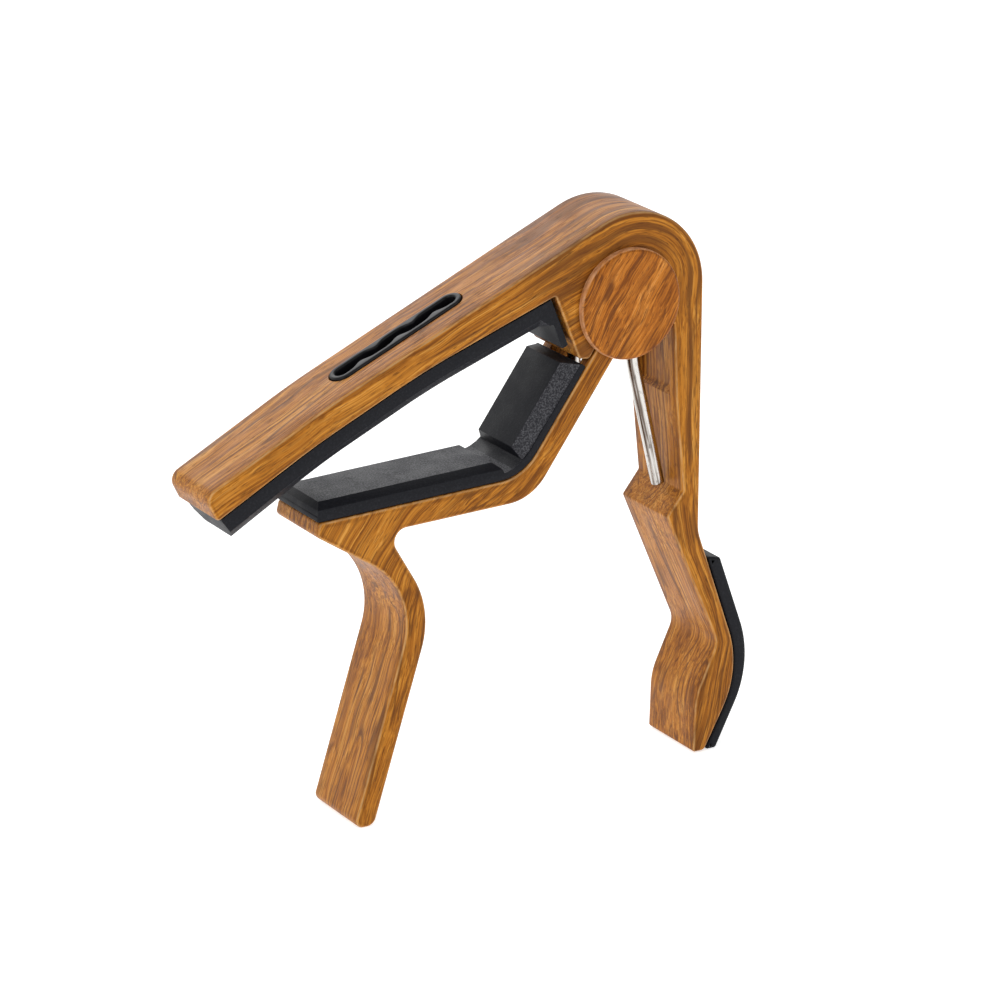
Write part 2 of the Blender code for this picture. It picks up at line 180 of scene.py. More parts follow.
def inside(poly, q):
    """Which points q lie inside the polygon."""
    x, z = q[:, 0], q[:, 1]
    hit = np.zeros(len(q), bool)
    px, pz = poly[:, 0], poly[:, 1]
    qx, qz = np.roll(px, -1), np.roll(pz, -1)
    for a, b, c, d in zip(px, pz, qx, qz):
        if b == d:
            continue
        cross = ((b > z) != (d > z)) & (x < (c - a) * (z - b) / (d - b) + a)
        hit ^= cross
    return hit


def seg_distance(q, a, b):
    """Distance from points q to each segment a-b; returns nearest index, t and distance."""
    best = np.full(len(q), 1e9)
    idx = np.zeros(len(q), int)
    par = np.zeros(len(q))
    for i in range(len(a)):
        d = b[i] - a[i]
        l2 = float(d @ d)
        if l2 < 1e-12:
            continue
        t = np.clip(((q - a[i]) @ d) / l2, 0, 1)
        r = q - (a[i] + t[:, None] * d)
        dist = np.hypot(r[:, 0], r[:, 1])
        m = dist < best
        best[m], idx[m], par[m] = dist[m], i, t[m]
    return idx, par, best


def cap_faces(ring, spacing):
    """Triangles that fill an outline, with evenly spread points inside it."""
    lo, hi = ring.min(0), ring.max(0)
    grid = []
    row = 0
    z = lo[1] + spacing / 2
    while z < hi[1]:
        x = lo[0] + (spacing / 2 if row % 2 else spacing)
        while x < hi[0]:
            grid.append((x, z))
            x += spacing
        z += spacing * 0.866
        row += 1
    grid = np.array(grid) if grid else np.zeros((0, 2))
    if len(grid):
        grid = grid[inside(ring, grid)]
    if len(grid):
        _, _, d = seg_distance(grid, ring, np.roll(ring, -1, 0))
        grid = grid[d > spacing * 0.45]
    pts = [Vector(p) for p in ring] + [Vector(p) for p in grid]
    n = len(ring)
    fence = {(min(i, (i + 1) % n), max(i, (i + 1) % n)) for i in range(n)}
    _, _, faces, orig, _, _ = delaunay_2d_cdt(pts, sorted(fence), [], 0, 1e-9, True)
    back = [o[0] if o else None for o in orig]
    tris = []
    for f in faces:
        ids = [back[k] for k in f]
        if None not in ids and len(set(ids)) == 3:
            tris.append(ids)
    # keep what can be reached from a triangle that is clearly inside
    allp = np.array([list(p) for p in pts])
    corner = allp[np.array(tris)]
    e1, e2 = corner[:, 1] - corner[:, 0], corner[:, 2] - corner[:, 0]
    big = np.abs(e1[:, 0] * e2[:, 1] - e1[:, 1] * e2[:, 0]) > 0.02
    seeds = inside(ring, corner.mean(1)) & big
    shared = {}
    for t, ids in enumerate(tris):
        for k in range(3):
            e = (min(ids[k], ids[(k + 1) % 3]), max(ids[k], ids[(k + 1) % 3]))
            shared.setdefault(e, []).append(t)
    keep = set(np.nonzero(seeds)[0].tolist())
    stack = list(keep)
    while stack:
        t = stack.pop()
        ids = tris[t]
        for k in range(3):
            e = (min(ids[k], ids[(k + 1) % 3]), max(ids[k], ids[(k + 1) % 3]))
            if e in fence:
                continue
            for o in shared[e]:
                if o not in keep:
                    keep.add(o)
                    stack.append(o)
    return grid, [tris[t] for t in sorted(keep)]


def new_object(name, bm, smooth=35.0):
    mesh = bpy.data.meshes.new(name)
    bm.to_mesh(mesh)
    bm.free()
    obj = bpy.data.objects.new(name, mesh)
    bpy.context.scene.collection.objects.link(obj)
    mesh.shade_smooth()
    if smooth:
        mesh.set_sharp_from_angle(angle=math.radians(smooth))
    return obj


def prism(name, outline, half, r, width_at=None, seg=4, most=0.7, spacing=0.9, rows=8, smooth=35.0):
    """Outline extruded across Y with its long edges rounded by r."""
    pts = densify(outline, most)
    nrm = inward(pts)
    n = len(pts)
    bm = bmesh.new()

    def ring(inset, y):
        p = pts + nrm * inset
        return p, [bm.verts.new((q[0], y, q[1])) for q in p]

    levels = []
    for k in range(seg, 0, -1):
        a = math.pi / 2 * k / seg
        levels.append((r * (1 - math.cos(a)), -(half - r + r * math.sin(a))))
    for k in range(rows + 1):
        levels.append((0.0, -(half - r) + 2 * (half - r) * k / rows))
    for k in range(1, seg + 1):
        a = math.pi / 2 * k / seg
        levels.append((r * (1 - math.cos(a)), half - r + r * math.sin(a)))
    rings = [ring(*lv) for lv in levels]
    for (_, a), (_, b) in zip(rings, rings[1:]):
        for i in range(n):
            j = (i + 1) % n
            bm.faces.new((a[i], b[i], b[j], a[j]))
    for (p, verts), flip in ((rings[0], False), (rings[-1], True)):
        grid, tris = cap_faces(p, spacing)
        y = verts[0].co.y
        allv = verts + [bm.verts.new((g[0], y, g[1])) for g in grid]
        for t in tris:
            f = [allv[k] for k in t]
            try:
                bm.faces.new(f)
            except ValueError:
                pass
    if width_at:
        for v in bm.verts:
            v.co.y *= width_at(v.co.x)
    for v in bm.verts:
        v.co = world(*v.co)
    bmesh.ops.recalc_face_normals(bm, faces=bm.faces)
    return new_object(name, bm, smooth)


def turned(name, profile, sides=96, smooth=35.0):
    """Profile of (radius, y) turned about the pivot axis; radius 0 closes it."""
    bm = bmesh.new()
    rings = []
    for r, y in profile:
        if r <= 1e-6:
            rings.append([bm.verts.new(world(0, y, 0))])
        else:
            rings.append([bm.verts.new(world(r * math.cos(2 * math.pi * k / sides), y,
                                             r * math.sin(2 * math.pi * k / sides)))
                          for k in range(sides)])
    pairs = list(zip(rings, rings[1:]))
    if profile[0][0] > 1e-6 and profile[-1][0] > 1e-6:
        pairs.append((rings[-1], rings[0]))
    for a, b in pairs:
        for k in range(sides):
            j = (k + 1) % sides
            if len(a) == 1 and len(b) == 1:
                continue
            if len(a) == 1:
                bm.faces.new((a[0], b[j], b[k]))
            elif len(b) == 1:
                bm.faces.new((a[k], a[j], b[0]))
            else:
                bm.faces.new((a[k], a[j], b[j], b[k]))
    bmesh.ops.recalc_face_normals(bm, faces=bm.faces)
    return new_object(name, bm, smooth)


def boolean(obj, other, op="DIFFERENCE"):
    mod = obj.modifiers.new(op, "BOOLEAN")
    mod.operation, mod.solver, mod.object = op, "EXACT", other
    bake_modifiers(obj)
    bpy.data.objects.remove(other, do_unlink=True)


def bake_modifiers(obj):
    dg = bpy.context.evaluated_depsgraph_get()
    mesh = bpy.data.meshes.new_from_object(obj.evaluated_get(dg))
    old = obj.data
    obj.modifiers.clear()
    obj.data = mesh
    bpy.data.meshes.remove(old)


def coords(obj):
    n = len(obj.data.vertices)
    co = np.zeros(n * 3, np.float32)
    obj.data.vertices.foreach_get("co", co)
    co = co.reshape(-1, 3).astype(float) / MM
    co[:, 0] -= PX
    co[:, 2] -= PZ
    return co


def set_attr(obj, name, values):
    att = obj.data.attributes.get(name) or obj.data.attributes.new(
        name, "FLOAT_VECTOR" if values.ndim == 2 else "FLOAT", "POINT")
    key = "vector" if values.ndim == 2 else "value"
    att.data.foreach_set(key, values.astype(np.float32).ravel())


def grain(obj, spine, shift=0.0):
    """Grain coordinates in mm: along the casting, across it, and across its width."""
    co = coords(obj)
    q = co[:, [0, 2]]
    s = np.array(spine, float)
    a, b = s[:-1], s[1:]
    length = np.concatenate([[0], np.cumsum(np.linalg.norm(b - a, axis=1))])
    idx, t, dist = seg_distance(q, a, b)
    d = b[idx] - a[idx]
    ln = np.linalg.norm(d, axis=1)
    u = length[idx] + t * ln
    rel = q - a[idx]
    side = np.sign(d[:, 0] * rel[:, 1] - d[:, 1] * rel[:, 0])
    side[side == 0] = 1
    set_attr(obj, "grain", np.stack([u + shift, side * dist, co[:, 1]], 1))


def edge_attr(obj, outline, half, width_at=None):
    """1 on the rounded long edges, falling to 0 within 0.9 mm."""
    co = coords(obj)
    pts = densify(outline, 1.0)
    _, _, d = seg_distance(co[:, [0, 2]], pts, np.roll(pts, -1, 0))
    w = np.array([width_at(x) if width_at else 1.0 for x in co[:, 0]])
    dy = half * w - np.abs(co[:, 1])
    far = np.hypot(np.maximum(d, 0), np.maximum(dy, 0))
    set_attr(obj, "edge", np.clip(1.0 - far / 0.9, 0, 1))


def tapered(x):
    t = min(max((-12.0 - x) / 57.0, 0.0), 1.0)
    return 1.0 + (TIP_WIDTH_RATIO - 1.0) * t


# ----------------------------------------------------------- material helper
class Nodes:
    """Short way to build a node material."""

    def __init__(self, name):
        self.mat = bpy.data.materials.new(name)
        self.mat.use_nodes = True
        self.tree = self.mat.node_tree
        self.bsdf = self.tree.nodes["Principled BSDF"]

    def add(self, kind, ins=None, **props):
        node = self.tree.nodes.new("ShaderNode" + kind)
        for k, v in props.items():
            setattr(node, k, v)
        for k, v in (ins or {}).items():
            self.put(node.inputs[k], v)
        return node

    def put(self, socket, value):
        if isinstance(value, bpy.types.NodeSocket):
            self.tree.links.new(value, socket)
        else:
            socket.default_value = value

    def math(self, op, a, b=None, clamp=False):
        node = self.tree.nodes.new("ShaderNodeMath")
        node.operation, node.use_clamp = op, clamp
        self.put(node.inputs[0], a)
        if b is not None:
            self.put(node.inputs[1], b)
        return node.outputs[0]

    def mix(self, fac, a, b, blend="MIX"):
        node = self.tree.nodes.new("ShaderNodeMix")
        node.data_type, node.blend_type = "RGBA", blend
        self.put(node.inputs[0], fac)
        self.put(node.inputs[6], a)
        self.put(node.inputs[7], b)
        return node.outputs[2]

    def ramp(self, value, stops):
        node = self.add("ValToRGB", {"Fac": value})
        ramp = node.color_ramp
        while len(ramp.elements) < len(stops):
            ramp.elements.new(0.5)
        for el, (pos, col) in zip(ramp.elements, stops):
            el.position, el.color = pos, col
        return node.outputs[0]

    def smooth(self, value, lo, hi, out_lo=0.0, out_hi=1.0):
        node = self.add("MapRange", {"Value": value, "From Min": lo, "From Max": hi,
                                     "To Min": out_lo, "To Max": out_hi}, interpolation_type="SMOOTHSTEP")
        return node.outputs[0]

    def noise(self, vector, scale=1.0, detail=3.0, rough=0.5, distort=0.0):
        node = self.add("TexNoise", {"Vector": vector, "Scale": scale, "Detail": detail,
                                     "Roughness": rough, "Distortion": distort})
        return node.outputs["Fac"]

    def scaled(self, vector, sx, sy, sz, ox=0.0, oy=0.0, oz=0.0):
        node = self.add("Mapping", {"Vector": vector, "Scale": (sx, sy, sz), "Location": (ox, oy, oz)})
        return node.outputs[0]


def srgb(r, g, b, gain=1.0):
    def lin(c):
        c /= 255.0
        return gain * (c / 12.92 if c <= 0.04045 else ((c + 0.055) / 1.055) ** 2.4)
    return (lin(r), lin(g), lin(b), 1.0)


def wood_film(name, seed=0.0, swirl=1.0, streak=0.6, gain=1.0, coat=0.0, figure=None, tint=(1.0, 1.0, 1.0)):
    """Printed wood-grain film on a casting under satin lacquer. The pattern
    follows the 'grain' attribute, in mm along, across and through the casting."""
    m = Nodes(name)
    g = m.add("Attribute", attribute_name="grain").outputs["Vector"]
    # slow wander of the figure
    w1 = m.noise(m.scaled(g, 0.035, 0.09, 0.09, seed, seed * 1.7, 3.1), 1.0, 2.0, 0.5)
    w2 = m.noise(m.scaled(g, 0.035, 0.09, 0.09, 9.0 + seed, 4.0, seed), 1.0, 2.0, 0.5)
    off = m.add("CombineXYZ", {"X": 0.0, "Y": m.math("MULTIPLY", m.math("SUBTRACT", w1, 0.5), 4.0 * swirl),
                               "Z": m.math("MULTIPLY", m.math("SUBTRACT", w2, 0.5), 4.0 * swirl)}).outputs[0]
    p = m.add("VectorMath", {0: g, 1: off}, operation="ADD").outputs[0]
    broad = m.noise(m.scaled(p, 0.012, 0.26, 0.26, 5.0, seed, 0.0), 1.0, 2.0, 0.5)
    band = m.noise(m.scaled(p, 0.018, 1.25, 1.25, seed * 2.1, 7.0, 2.0), 1.0, 2.0, 0.55)
    fine = m.noise(m.scaled(p, 0.045, 3.3, 3.3, 1.0, seed, 4.0), 1.0, 3.0, 0.6)
    hair = m.noise(m.scaled(p, 0.14, 6.0, 6.0, 2.0 + seed), 1.0, 2.0, 0.6)
    tone = m.math("ADD", m.math("MULTIPLY", broad, 0.28), m.math("MULTIPLY", band, 0.30))
    tone = m.math("ADD", tone, m.math("MULTIPLY", fine, 0.42))
    # thin contour lines of growth
    field = m.noise(m.scaled(p, 0.009, 0.3, 0.3, seed * 0.7, 0.0, 1.3), 1.0, 1.0, 0.4)
    saw = m.math("FRACT", m.math("MULTIPLY", field, 8.0))
    line = m.math("MULTIPLY", m.smooth(saw, 0.58, 0.84), m.smooth(saw, 1.0, 0.88))
    where = m.smooth(m.noise(m.scaled(p, 0.02, 0.4, 0.4, 3.0, 1.0, seed), 1.0, 2.0), 0.40, 0.58)
    # long dark streaks, short dashes and pores
    strk = m.noise(m.scaled(p, 0.014, 2.2, 2.2, 7.0, seed), 1.0, 2.5, 0.6)
    streaks = m.smooth(strk, 0.55, 0.68)
    dash = m.noise(m.scaled(p, 0.2, 4.0, 4.0, 3.0, seed, 9.0), 1.0, 2.0, 0.55)
    dashes = m.smooth(dash, 0.57, 0.68)
    pore = m.noise(m.scaled(g, 0.5, 5.5, 5.5, seed * 2.0), 1.0, 1.5, 0.5)
    pores = m.smooth(pore, 0.6, 0.7)

    dark = srgb(100, 56, 24, gain)
    col = m.ramp(tone, [(0.40, srgb(122, 68, 20, gain)), (0.455, srgb(164, 99, 30, gain)),
                        (0.50, srgb(187, 118, 38, gain)), (0.55, srgb(200, 131, 46, gain)),
                        (0.61, srgb(218, 154, 70, gain))])
    col = m.mix(m.math("MULTIPLY", line, m.smooth(where, 0.0, 1.0, 0.25, 0.85)), col, dark)
    col = m.mix(m.math("MULTIPLY", streaks, streak), col, dark)
    if figure:
        # bold bands where the film bends round the hub
        gx = m.add("SeparateXYZ", {0: g}).outputs[0]
        near = m.math("MULTIPLY", m.smooth(gx, figure[0], figure[0] + 10.0), m.smooth(gx, figure[1], figure[1] - 8.0))
        bold = m.noise(m.scaled(p, 0.012, 0.75, 0.75, 3.0, 5.0, 1.0), 1.0, 2.0, 0.5)
        col = m.mix(m.math("MULTIPLY", m.math("MULTIPLY", m.smooth(bold, 0.46, 0.55), near), 0.75), col, dark)
    col = m.mix(m.math("MULTIPLY", dashes, 0.6), col, srgb(86, 46, 18, gain))
    col = m.mix(m.math("MULTIPLY", m.smooth(hair, 0.48, 0.70), 0.45), col, srgb(130, 76, 30, gain))
    col = m.mix(m.math("MULTIPLY", pores, 0.6), col, srgb(74, 40, 20, gain))
    # film rubbed thin along the long edges and painted paler there as a highlight, with a painted shade line just
    # inside
    edge = m.add("Attribute", attribute_name="edge").outputs["Fac"]
    wear_and_light_noise = m.noise(m.scaled(g, 0.25, 0.9, 0.9, 1.0, 2.0), 1.0, 4.0, 0.65)
    # painted shade: a dark line just inside the rounded edge
    inner = m.math("MULTIPLY", m.smooth(edge, 0.22, 0.40), m.smooth(edge, 0.62, 0.44))
    col = m.mix(m.math("MULTIPLY", inner, m.smooth(wear_and_light_noise, 0.35, 0.65, 0.1, 0.5)), col, dark)
    # worn film plus painted highlight: pale colour on the rounded edge
    wear_and_edge_highlight = m.math("MULTIPLY", m.smooth(edge, 0.58, 0.88), m.smooth(wear_and_light_noise, 0.34, 0.66, 0.3, 0.9))
    col = m.mix(wear_and_edge_highlight, col, srgb(222, 176, 120, gain))
    if tint != (1.0, 1.0, 1.0):
        col = m.mix(1.0, col, (*tint, 1.0), "MULTIPLY")
    m.put(m.bsdf.inputs["Base Color"], col)

    smear = m.noise(m.scaled(g, 0.12, 0.5, 0.5, 4.0), 1.0, 4.0, 0.6)
    rough = m.math("ADD", m.smooth(smear, 0.25, 0.75, 0.36, 0.5), m.math("MULTIPLY", pores, 0.1))
    m.put(m.bsdf.inputs["Roughness"], rough)
    m.bsdf.inputs["Metallic"].default_value = 0.0
    m.bsdf.inputs["IOR"].default_value = 1.5
    m.bsdf.inputs["Specular IOR Level"].default_value = 0.34
    m.bsdf.inputs["Specular Tint"].default_value = (1.0, 0.5, 0.16, 1.0)
    m.bsdf.inputs["Coat Weight"].default_value = coat
    m.bsdf.inputs["Coat Roughness"].default_value = 0.28
    height = m.math("ADD", m.math("MULTIPLY", fine, 0.5), m.math("MULTIPLY", pores, -0.6))
    peel = m.noise(g, 0.9, 2.0, 0.5)
    height = m.math("ADD", height, m.math("MULTIPLY", peel, 0.5))
    bump = m.add("Bump", {"Height": height, "Strength": 0.3, "Distance": 0.00009})
    m.put(m.bsdf.inputs["Normal"], bump.outputs[0])
    return m.mat


def rubber(name, colour, speck, rough=0.6, grain_mm=0.3, bump_mm=0.03, spec=0.4):
    """Moulded rubber with a fine spark-eroded texture."""
    m = Nodes(name)
    obj = m.add("TexCoord").outputs["Object"]
    mm = m.scaled(obj, 1000, 1000, 1000)
    n1 = m.noise(mm, 1.0 / grain_mm, 2.0, 0.6)
    n2 = m.noise(mm, 0.3, 3.0, 0.55)
    n3 = m.noise(mm, 2.6 / grain_mm, 2.0, 0.5)
    dust = m.noise(mm, 1.7, 3.0, 0.7)
    col = m.mix(m.math("MULTIPLY", m.smooth(n1, 0.46, 0.72), 0.6), colour, speck)
    col = m.mix(m.math("MULTIPLY", m.smooth(n2, 0.38, 0.7), 0.25), col, tuple(c * 1.6 for c in colour[:3]) + (1.0,))
    col = m.mix(m.math("MULTIPLY", m.smooth(dust, 0.70, 0.78), 0.25), col, (0.12, 0.12, 0.13, 1.0))
    # marked faces painted lighter grey: the moulded texture, and painted sheen on the faces that catch the light
    coarse = m.noise(mm, 4.6, 2.0, 0.6)
    texture_and_sheen_grey = m.mix(m.smooth(coarse, 0.40, 0.66), srgb(44, 44, 48), srgb(92, 92, 96))
    col = m.mix(m.add("Attribute", attribute_name="speckle_and_sheen").outputs["Fac"], col, texture_and_sheen_grey)
    m.put(m.bsdf.inputs["Base Color"], col)
    m.put(m.bsdf.inputs["Roughness"], m.smooth(n2, 0.3, 0.7, rough - 0.06, rough + 0.06))
    m.bsdf.inputs["Specular IOR Level"].default_value = spec
    height = m.math("ADD", n1, m.math("MULTIPLY", n3, 0.5))
    bump = m.add("Bump", {"Height": height, "Strength": 0.7, "Distance": bump_mm * MM})
    m.put(m.bsdf.inputs["Normal"], bump.outputs[0])
    return m.mat


def plated_wire(name):
    """Bright plated spring wire with faint drawing lines, handling marks and painted dark brown reflections along it.
    """
    m = Nodes(name)
    g = m.add("Attribute", attribute_name="grain").outputs["Vector"]
    lines = m.noise(m.scaled(g, 0.2, 7.0, 7.0), 1.0, 3.0, 0.6)
    marks = m.noise(m.scaled(g, 0.8, 1.2, 1.2, 3.0), 1.0, 4.0, 0.65)
    painted_reflection_noise = m.noise(m.scaled(g, 0.05, 1.1, 1.1, 6.0), 1.0, 3.0, 0.6)
    # painted reflection: dark brown patches along the wire where the wood and dark surroundings are mirrored
    col = m.mix(m.smooth(painted_reflection_noise, 0.44, 0.60), (0.60, 0.58, 0.55, 1), (0.14, 0.11, 0.09, 1))
    col = m.mix(m.math("MULTIPLY", m.smooth(marks, 0.54, 0.72), 0.7), col, (0.12, 0.10, 0.09, 1))
    m.put(m.bsdf.inputs["Base Color"], col)
    m.bsdf.inputs["Metallic"].default_value = 1.0
    m.put(m.bsdf.inputs["Roughness"], m.math("ADD", m.smooth(marks, 0.3, 0.8, 0.1, 0.22), m.math("MULTIPLY", lines, 0.07)))
    height = m.math("ADD", lines, m.math("MULTIPLY", marks, 0.5))
    m.put(m.bsdf.inputs["Normal"], m.add("Bump", {"Height": height, "Strength": 0.4, "Distance": 0.00003}).outputs[0])
    return m.mat


def turned_steel(name):
    m = Nodes(name)
    obj = m.scaled(m.add("TexCoord").outputs["Object"], 1000, 1000, 1000)
    n = m.noise(m.scaled(obj, 1.0, 14.0, 1.0), 1.0, 3.0, 0.6)
    m.put(m.bsdf.inputs["Base Color"], m.mix(n, (0.5, 0.49, 0.48, 1), (0.68, 0.67, 0.65, 1)))
    m.bsdf.inputs["Metallic"].default_value = 1.0
    m.put(m.bsdf.inputs["Roughness"], m.smooth(n, 0.3, 0.7, 0.22, 0.38))
    m.put(m.bsdf.inputs["Normal"], m.add("Bump", {"Height": n, "Strength": 0.4, "Distance": 0.00003}).outputs[0])
    return m.mat


def nylon(name):
    m = Nodes(name)
    obj = m.scaled(m.add("TexCoord").outputs["Object"], 1000, 1000, 1000)
    n = m.noise(obj, 1.6, 3.0, 0.55)
    m.put(m.bsdf.inputs["Base Color"], m.mix(m.smooth(n, 0.3, 0.7), (0.5, 0.48, 0.43, 1), (0.6, 0.58, 0.53, 1)))
    m.put(m.bsdf.inputs["Roughness"], m.smooth(n, 0.3, 0.7, 0.42, 0.55))
    m.put(m.bsdf.inputs["Normal"], m.add("Bump", {"Height": n, "Strength": 0.3, "Distance": 0.00005}).outputs[0])
    return m.mat


GAIN = 0.83
WOOD = wood_film("film_wood", seed=0.0, gain=GAIN, figure=(56.0, 92.0))
WOOD_JAW = wood_film("film_wood_jaw", seed=13.0, swirl=1.3, gain=GAIN)
WOOD_CAP = wood_film("film_wood_cap", seed=31.0, streak=0.85, gain=GAIN, tint=(1.05, 0.93, 1.1))
PAD = rubber("pad_black", srgb(17, 18, 23), srgb(34, 35, 40), 0.5, 0.3, 0.03, 0.14)
INSERT = rubber("insert_grey", srgb(14, 14, 17), srgb(24, 24, 28), 0.36, 0.6, 0.008, 0.22)
CHROME = plated_wire("spring_plated")
STEEL = turned_steel("pin_turned")
NYLON = nylon("nylon_natural")


def give(obj, mat):
    obj.data.materials.clear()
    obj.data.materials.append(mat)


def place(obj, node, body, mat):
    give(obj, mat)
    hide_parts(node)
    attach(obj, body)
    return obj


# -------------------------------------------------------------- upper arm
def oval(length, width, count=30):
    r = width / 2
    half = length / 2 - r
    pts = [(half + r * math.cos(a), r * math.sin(a)) for a in np.linspace(-math.pi / 2, math.pi / 2, count)]
    pts += [(-half + r * math.cos(a), r * math.sin(a)) for a in np.linspace(math.pi / 2, 1.5 * math.pi, count)]
    return pts


def on_bar(u, v, h):
    """Point u along, v across and h above the pick holder's seat."""
    ca, sa = math.cos(PICK_ANGLE), math.sin(PICK_ANGLE)
    return world(PICK_CENTRE[0] + u * ca - h * sa, v, PICK_CENTRE[1] + u * sa + h * ca)


def pick_pocket():
    pts = oval(PICK_LENGTH, PICK_WIDTH)
    bm = bmesh.new()
    rings = [[bm.verts.new(on_bar(u, v, h)) for u, v in pts] for h in (-PICK_DEPTH, 3.0)]
    bm.faces.new(rings[0])
    bm.faces.new(rings[1])
    n = len(pts)
    for i in range(n):
        j = (i + 1) % n
        bm.faces.new((rings[0][i], rings[0][j], rings[1][j], rings[1][i]))
    bmesh.ops.recalc_face_normals(bm, faces=bm.faces)
    return new_object("cut", bm)


def plain_prism(name, outline, y0, y1):
    bm = bmesh.new()
    a = [bm.verts.new(world(x, y0, z)) for x, z in outline]
    b = [bm.verts.new(world(x, y1, z)) for x, z in outline]
    bm.faces.new(a)
    bm.faces.new(b)
    n = len(outline)
    for i in range(n):
        j = (i + 1) % n
        bm.faces.new((a[i], a[j], b[j], b[i]))
    bmesh.ops.recalc_face_normals(bm, faces=bm.faces)
    return new_object(name, bm)


ARM_OUTLINE = rounded(ARM_TIP + ARM_TOP + HANDLE_OUTER + HANDLE_INNER + [(6.70, -4.19, 0.0)] + [
    (*p, 0.0) for p in arc(0, 0, CHEEK_R, -38, -122, 24)
] + [(-5.55, -6.35, 0.3)] + TOE + ARM_UNDER)
ARM_SPINE = (
    [(-72.0, -21.6), (-52.0, -11.0), (-34.0, -3.0), (-14.0, 6.2)]
    + arc(1.0, 1.2, 10.2, 118, 4, 26)
    + [(10.9, -10.0), (10.9, -22.0), (11.2, -33.5), (12.6, -41.5), (15.6, -49.5), (17.6, -57.0), (16.0, -66.0), (13.4, -76.0)]
)


def build_arm():
    arm = prism("arm_casting", ARM_OUTLINE, BODY_HALF, EDGE_ROUND, tapered)
    for side in (-1, 1):
        recess = arc(0, 0, EAR_R + 0.32, 0, 230, 93 + side) + [(-4.6, -10.0), (8.25, -10.0), (8.25, -0.6)]
        y0, y1 = sorted((side * CHEEK_OUT, side * (BODY_HALF + 2)))
        boolean(arm, plain_prism("cut", recess, y0, y1))
    cavity = arc(0, 0, CAVITY_R, 0, 196, 70) + [(-5.75, -10.0), (8.1, -10.0), (8.1, -3.6)]
    boolean(arm, plain_prism("cut", cavity, -CHEEK_IN, CHEEK_IN))
    boolean(arm, turned("cut", [(0, -5), (BORE_R, -5), (BORE_R, 5), (0, 5)], 64))
    channel = rounded([(7.0, -5.1, 0), (9.75, -5.1, 0.3), (9.75, -15.4, 1.2), (8.4, -16.7, 0.2), (7.0, -16.7, 0)], 12)
    boolean(arm, plain_prism("cut", channel, -4.7, 4.7))
    boolean(arm, pick_pocket())
    arm.data.shade_smooth()
    arm.data.set_sharp_from_angle(angle=math.radians(35))
    grain(arm, ARM_SPINE)
    edge_attr(arm, ARM_OUTLINE, BODY_HALF, tapered)
    return place(arm, "upper_arm", "arm", WOOD)


def soft_bumps(u, places):
    return max(math.exp(-((u - q * PICK_PITCH) / 1.25) ** 2) for q in places)


def build_pick_holder():
    """Rubber insert: rounded rim, staggered soft bumps in the slot, closed floor."""
    gap = 0.2
    outer = oval(PICK_LENGTH - 2 * gap, PICK_WIDTH - 2 * gap, 40)
    # even points along both straight sides, so the bumps have points to form on
    half = (PICK_LENGTH - PICK_WIDTH) / 2
    r_out, r_in = (PICK_WIDTH - 2 * gap) / 2, 1.15
    rim = []
    ends = 28
    run = 90
    for k in range(ends + 1):
        a = -math.pi / 2 + math.pi * k / ends
        rim.append((half, 0.0, math.cos(a), math.sin(a), 0.0))
    for k in range(1, run):
        u = half - 2 * half * k / run
        rim.append((u, 0.0, 0.0, 1.0, soft_bumps(u, (-0.5, 0.5))))
    for k in range(ends + 1):
        a = math.pi / 2 + math.pi * k / ends
        rim.append((-half, 0.0, math.cos(a), math.sin(a), 0.0))
    for k in range(1, run):
        u = -half + 2 * half * k / run
        rim.append((u, 0.0, 0.0, -1.0, soft_bumps(u, (-1.0, 0.0, 1.0))))
    top, low, floor_h, r = PICK_PROUD, -PICK_DEPTH + gap, -2.0, 0.32
    section = [("o", 0.0, low), ("o", 0.0, -1.2), ("o", 0.0, top - r)]
    for k in range(1, 6):
        a = math.pi / 2 * k / 5
        section.append(("o", r * (1 - math.cos(a)), top - r + r * math.sin(a)))
    for k in range(5, -1, -1):
        a = math.pi / 2 * k / 5
        section.append(("i", r * (1 - math.cos(a)), top - r + r * math.sin(a)))
    section += [("i", 0.0, -0.6), ("i", 0.0, -1.3), ("i", 0.0, floor_h)]
    bm = bmesh.new()
    rings = []
    for kind, inset, h in section:
        ring = []
        for u, v, du, dv, bump in rim:
            if kind == "o":
                rad = r_out - inset
            else:
                rad = r_in - 0.72 * bump + inset
            ring.append(bm.verts.new(on_bar(u + du * rad, v + dv * rad, h)))
        rings.append(ring)
    n = len(rim)
    for a, b in zip(rings, rings[1:]):
        for i in range(n):
            j = (i + 1) % n
            bm.faces.new((a[i], a[j], b[j], b[i]))
    for ring in (rings[0], rings[-1]):
        mid = [bm.verts.new(on_bar(half * t, 0.0, low if ring is rings[0] else floor_h)) for t in np.linspace(1, -1, 41)]
        # fan each rim point to the middle line
        def near(i):
            u = rim[i][0]
            return mid[int(round((1 - u / half) / 2 * 40))]
        for i in range(n):
            j = (i + 1) % n
            a, b = near(i), near(j)
            if a is b:
                bm.faces.new((ring[i], ring[j], a))
            else:
                bm.faces.new((ring[i], ring[j], b, a))
    bmesh.ops.recalc_face_normals(bm, faces=bm.faces)
    holder = new_object("pick_insert", bm, 50)
    return place(holder, "pick_holder", "arm", INSERT)


# -------------------------------------------------------------- lower jaw
JAW_OUTLINE = rounded(
    [(*along_bar(2.0, BAR_LEFT), 0.0)] + [JAW_TOP_CORNER] + JAW_TIP + GRIP_LEFT[::-1]
    + GRIP_RIGHT[::-1] + [JAW_UNDER_CORNER, (*along_bar(2.0, -BAR_RIGHT), 0.0)]
)
JAW_SPINE = [
    (2.0, 4.5), (-3.0, -3.6), (-9.0, -12.2), (-14.5, -19.6), (-19.5, -24.6), (-25.5, -28.4), (-31.0, -32.6),
    (-34.8, -37.6), (-36.6, -43.5), (-37.9, -50.0), (-41.0, -61.5), (-45.6, -77.5),
]


